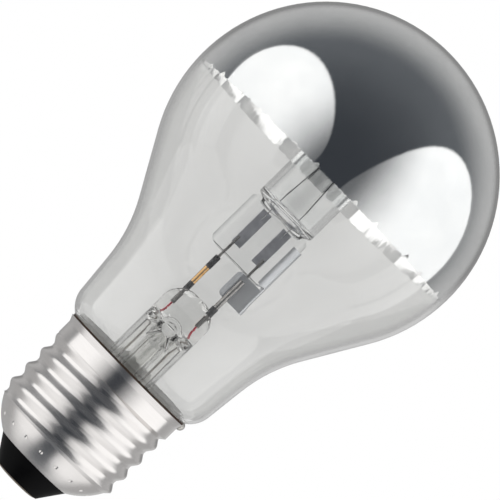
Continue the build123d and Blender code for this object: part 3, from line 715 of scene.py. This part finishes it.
def backdrop_of(tree, y, z):
    """What shows through clear glass."""
    level = step_node(tree, math_node(tree, "ABSOLUTE", z), GLASS_LEVEL, 1.0, 0.0)
    backdrop = mix_node(tree, level, GLASS_DARK, BACKDROP_GREY)
    return mix_node(tree, step_node(tree, y, PALE_DEPTH), backdrop, BACKDROP_PALE)


def bounced(tree, count):
    """One where light has bounced at least once in the way that is counted."""
    return math_node(tree, "GREATER_THAN", count, 0.5)


def world():
    """White to the camera, even soft light on matt pieces, and a studio in gloss and glass."""
    made = bpy.data.worlds.new("studio")
    made.use_nodes = True
    tree = made.node_tree
    place = tree.nodes.new("ShaderNodeTexCoord")
    parts = tree.nodes.new("ShaderNodeSeparateXYZ")
    tree.links.new(place.outputs["Generated"], parts.inputs["Vector"])
    x, y, z = parts.outputs
    path = tree.nodes.new("ShaderNodeLightPath")
    mirrored = bounced(tree, path.outputs["Glossy Depth"])
    scattered = bounced(tree, path.outputs["Diffuse Depth"])
    seen = mix_node(tree, mirrored, backdrop_of(tree, y, z), room_of(tree, x, y, z))
    seen = mix_node(tree, scattered, seen, LIGHT_ALL_ROUND)
    seen = mix_node(tree, path.outputs["Is Camera Ray"], seen, 1.0)
    tree.links.new(seen, tree.nodes["Background"].inputs["Color"])
    bpy.context.scene.world = made


def floor_finish():
    """Pale matt floor that fades into the white round it."""
    made = surface("floor", colour(240, 240, 240), colour(246, 246, 246), (0.6, 0.8), 40.0)
    tree = made.node_tree
    white = tree.nodes.new("ShaderNodeEmission")
    place = tree.nodes.new("ShaderNodeTexCoord")
    length = tree.nodes.new("ShaderNodeVectorMath")
    length.operation = "LENGTH"
    tree.links.new(place.outputs["Object"], length.inputs[0])
    fade = step_node(tree, length.outputs["Value"], (FLOOR_FADE, FLOOR_RADIUS))
    mixed = tree.nodes.new("ShaderNodeMixShader")
    tree.links.new(fade, mixed.inputs["Fac"])
    tree.links.new(shader_of(made).outputs["BSDF"], mixed.inputs[1])
    tree.links.new(white.outputs["Emission"], mixed.inputs[2])
    tree.links.new(mixed.outputs["Shader"], tree.nodes["Material Output"].inputs["Surface"])
    return made


def floor():
    """Round floor under the lamp."""
    form = bmesh.new()
    bmesh.ops.create_circle(form, cap_ends=True, segments=FLOOR_SIDES, radius=FLOOR_RADIUS)
    mesh = bpy.data.meshes.new("floor")
    form.to_mesh(mesh)
    form.free()
    mesh.materials.append(floor_finish())
    piece = bpy.data.objects.new("floor", mesh)
    piece.location.z = FLOOR_HEIGHT
    piece.visible_glossy = False
    bpy.context.scene.collection.objects.link(piece)


def camera():
    """Level with the lamp's neck, and turned about the line of sight so that the lamp leans right."""
    place = Vector(CAMERA_PLACE)
    look = Vector(CAMERA_AIM) - place
    ahead = look.normalized()
    up = (Vector((0, 0, 1)) - ahead.z * ahead).normalized()
    side = ahead.cross(up)
    turn = radians(CAMERA_TURN)
    right = cos(turn) * up + sin(turn) * side
    top = sin(turn) * up - cos(turn) * side
    data = bpy.data.cameras.new("camera")
    data.sensor_width = SENSOR
    data.lens = SENSOR * look.length / FRAME_WIDTH
    piece = bpy.data.objects.new("camera", data)
    piece.matrix_world = Matrix.Translation(place) @ Matrix((right, top, -ahead)).transposed().to_4x4()
    bpy.context.scene.collection.objects.link(piece)
    bpy.context.scene.camera = piece


def bounces():
    """Light paths long enough for glass behind glass."""
    cycles = bpy.context.scene.cycles
    cycles.max_bounces = BOUNCES
    cycles.transmission_bounces = BOUNCES
    cycles.transparent_max_bounces = BOUNCES
    cycles.glossy_bounces = GLOSSY_BOUNCES


# Lamp


def dress(frame, finishes):
    """Gives every node of the part its slot's material."""
    for subpart in frame["record"]["subparts"]:
        mesh = frame["nodes"][subpart["node"]].data
        mesh.materials.clear()
        mesh.materials.append(finishes[subpart["material_slot"]])


def add_pieces(frame, finishes):
    """Pieces that are finer than the nodes they stand for."""
    placed("stem_glass", sealed("stem", STEM_SEALS, frame), "stem_glass", "stem", finishes)
    placed("burner_glass", sealed("burner", BURNER_SEALS, frame), "quartz", "burner", finishes)
    placed("filament_turns", filament_mesh(), "filament_wire", "filament", finishes)
    placed("mirror_film", film_mesh(), "mirror_film", "mirror_coating", finishes)


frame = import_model()
bpy.context.scene.view_settings.view_transform = "Standard"
finishes = materials()
dress(frame, finishes)
add_pieces(frame, finishes)
world()
floor()
camera()
bounces()
